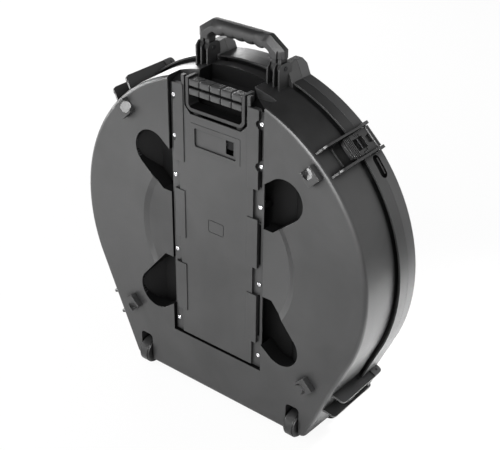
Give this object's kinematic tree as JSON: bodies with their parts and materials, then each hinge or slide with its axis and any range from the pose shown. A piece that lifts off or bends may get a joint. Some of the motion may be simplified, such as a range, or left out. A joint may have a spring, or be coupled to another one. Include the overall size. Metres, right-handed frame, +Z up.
{
  "type": "cymbal case",
  "caption": "Upright moulded D-shaped case for a stack of cymbals on a centre post, with a sliding pull handle, wheels, a folding carry handle and a latched lid.",
  "frame": {"origin": "centre of the footprint on the floor, under the middle of the depth", "axes": "+X right across the face, +Y from the face to the lid, +Z up"},
  "size_m": [0.671, 0.178, 0.7435],
  "materials": {
    "shell_plastic": "fine-grained matte",
    "panel_plastic": "fine-grained matte",
    "handle_plastic": "fine-grained matte",
    "latch_plastic": "satin",
    "black_plastic": "satin",
    "hub_plastic": "satin",
    "grip_rubber": "matte",
    "wheel_rubber": "matte",
    "gasket_rubber": "matte",
    "tube_aluminium": "satin anodised",
    "guide_aluminium": "mill",
    "screw_steel": "bright",
    "pin_steel": "brushed",
    "post_steel": "zinc plated",
    "foam": "open-cell foam",
    "felt": "pressed felt"
  },
  "bodies": {
    "base": {"base_shell": "shell_plastic", "handle_housing": "panel_plastic", "housing_screws": "screw_steel", "guide_tube_left": "guide_aluminium", "guide_tube_right": "guide_aluminium", "guide_bush_left": "black_plastic", "guide_bush_right": "black_plastic", "guide_top_clamp": "black_plastic", "guide_bottom_clamp": "black_plastic", "clamp_screws": "screw_steel", "carry_handle_pins": "pin_steel", "rim_gasket": "gasket_rubber", "base_foam_pad": "foam", "post_flange": "post_steel", "flange_screws": "screw_steel", "centre_post": "post_steel", "lower_felt": "felt", "upper_felt": "felt", "catch_bars": "pin_steel", "wheel_axles": "pin_steel"},
    "lid": {"lid_shell": "shell_plastic", "lid_foam_pad": "foam", "latch_plate_pins": "pin_steel"},
    "pull_handle": {"pull_handle_frame": "handle_plastic", "pull_handle_grip": "grip_rubber", "pull_tube_left": "tube_aluminium", "pull_tube_right": "tube_aluminium", "tube_glides": "black_plastic"},
    "carry_handle": {"carry_handle": "handle_plastic"},
    "knob": {"retaining_knob": "black_plastic"},
    "wheel_left": {"wheel_tyre_left": "wheel_rubber", "wheel_hub_left": "hub_plastic"},
    "wheel_right": {"wheel_tyre_right": "wheel_rubber", "wheel_hub_right": "hub_plastic"},
    "plate_upper_right": {"latch_plate_upper_right": "latch_plastic", "lever_pin_upper_right": "pin_steel"},
    "lever_upper_right": {"latch_lever_upper_right": "latch_plastic"},
    "plate_upper_left": {"latch_plate_upper_left": "latch_plastic", "lever_pin_upper_left": "pin_steel"},
    "lever_upper_left": {"latch_lever_upper_left": "latch_plastic"},
    "plate_lower_right": {"latch_plate_lower_right": "latch_plastic", "lever_pin_lower_right": "pin_steel"},
    "lever_lower_right": {"latch_lever_lower_right": "latch_plastic"},
    "plate_lower_left": {"latch_plate_lower_left": "latch_plastic", "lever_pin_lower_left": "pin_steel"},
    "lever_lower_left": {"latch_lever_lower_left": "latch_plastic"}
  },
  "joints": [
    {"name": "lid_lift", "type": "slide", "parent": "base", "child": "lid", "axis": [0, 1, 0], "range_m": [0, 0.2]},
    {"name": "pull_handle_slide", "type": "slide", "parent": "base", "child": "pull_handle", "axis": [0, 0, 1], "range_m": [0, 0.38]},
    {"name": "carry_handle_fold", "type": "hinge", "parent": "base", "child": "carry_handle", "pos_m": [0, -0.001, 0.6895], "axis": [1, 0, 0], "range_deg": [0, 90]},
    {"name": "knob_spin", "type": "hinge", "parent": "base", "child": "knob", "pos_m": [0, 0.014, 0.3425], "axis": [0, 1, 0], "continuous": true},
    {"name": "wheel_spin_left", "type": "hinge", "parent": "base", "child": "wheel_left", "pos_m": [-0.183, -0.062, 0.027], "axis": [1, 0, 0], "continuous": true},
    {"name": "wheel_spin_right", "type": "hinge", "parent": "base", "child": "wheel_right", "pos_m": [0.183, -0.062, 0.027], "axis": [1, 0, 0], "continuous": true},
    {"name": "plate_hinge_upper_right", "type": "hinge", "parent": "lid", "child": "plate_upper_right", "pos_m": [0.23386, 0.051, 0.59067], "axis": [-0.7278, 0, 0.6858], "range_deg": [0, 110]},
    {"name": "lever_pivot_upper_right", "type": "hinge", "parent": "plate_upper_right", "child": "lever_upper_right", "pos_m": [0.23318, 0.017, 0.58994], "axis": [-0.7278, 0, 0.6858], "range_deg": [-12, 25]},
    {"name": "plate_hinge_upper_left", "type": "hinge", "parent": "lid", "child": "plate_upper_left", "pos_m": [-0.23386, 0.051, 0.59067], "axis": [-0.7278, 0, -0.6858], "range_deg": [0, 110]},
    {"name": "lever_pivot_upper_left", "type": "hinge", "parent": "plate_upper_left", "child": "lever_upper_left", "pos_m": [-0.23318, 0.017, 0.58994], "axis": [-0.7278, 0, -0.6858], "range_deg": [-12, 25]},
    {"name": "plate_hinge_lower_right", "type": "hinge", "parent": "lid", "child": "plate_lower_right", "pos_m": [0.26927, 0.051, 0.10612], "axis": [0.3971, 0, 0.9178], "range_deg": [0, 110]},
    {"name": "lever_pivot_lower_right", "type": "hinge", "parent": "plate_lower_right", "child": "lever_lower_right", "pos_m": [0.26835, 0.017, 0.10652], "axis": [0.3971, 0, 0.9178], "range_deg": [-12, 25]},
    {"name": "plate_hinge_lower_left", "type": "hinge", "parent": "lid", "child": "plate_lower_left", "pos_m": [-0.26927, 0.051, 0.10612], "axis": [0.3971, 0, -0.9178], "range_deg": [0, 110]},
    {"name": "lever_pivot_lower_left", "type": "hinge", "parent": "plate_lower_left", "child": "lever_lower_left", "pos_m": [-0.26835, 0.017, 0.10652], "axis": [0.3971, 0, -0.9178], "range_deg": [-12, 25]}
  ]
}
